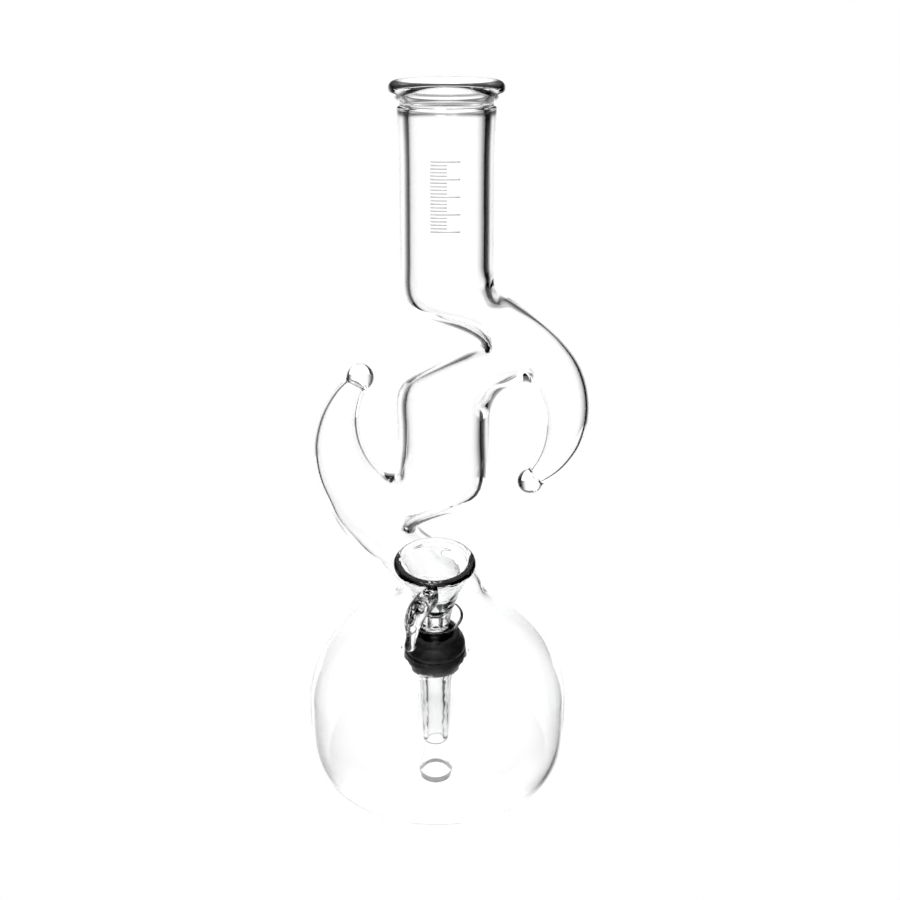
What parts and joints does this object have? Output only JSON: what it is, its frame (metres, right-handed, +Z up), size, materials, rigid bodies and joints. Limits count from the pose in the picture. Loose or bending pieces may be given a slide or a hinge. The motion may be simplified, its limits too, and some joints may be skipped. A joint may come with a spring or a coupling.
{
  "type": "glass water pipe",
  "caption": "Clear zig-zag glass water pipe on a round flask, with curved horns, a rubber grommet, a downstem and a lift-out cone bowl.",
  "frame": {"origin": "centre of the flat under the flask, on the surface that the pipe stands on", "axes": "+Z up along the tube, +Y to the back, -Y towards the bowl, +X towards the upper horn"},
  "size_m": [0.1186, 0.1233, 0.3103],
  "materials": {
    "clear_glass": "clear fire-polished borosilicate",
    "solid_glass": "thick clear fire-polished borosilicate",
    "black_rubber": "satin black moulded rubber"
  },
  "bodies": {
    "glass_body": {"mouth_ring": "clear_glass", "neck_tube": "clear_glass", "upper_bend": "clear_glass", "right_horn_tip": "solid_glass", "middle_tube": "clear_glass", "lower_bend": "clear_glass", "left_horn_tip": "solid_glass", "flask": "clear_glass", "port_rim": "solid_glass"},
    "grommet": {"grommet": "black_rubber"},
    "downstem": {"downstem": "clear_glass"},
    "slide": {"bowl": "solid_glass", "slide_stem": "clear_glass", "handle": "solid_glass"}
  },
  "joints": [
    {"name": "stem_twist", "type": "hinge", "parent": "glass_body", "child": "grommet", "pos_m": [-0.0007, -0.035, 0.0843], "axis": [0, -0.3007, 0.9537], "continuous": true},
    {"name": "stem_pull", "type": "slide", "parent": "grommet", "child": "downstem", "axis": [0, -0.3007, 0.9537], "range_m": [0, 0.088]},
    {"name": "bowl_pull", "type": "slide", "parent": "downstem", "child": "slide", "axis": [0, -0.3007, 0.9537], "range_m": [0, 0.068]}
  ]
}
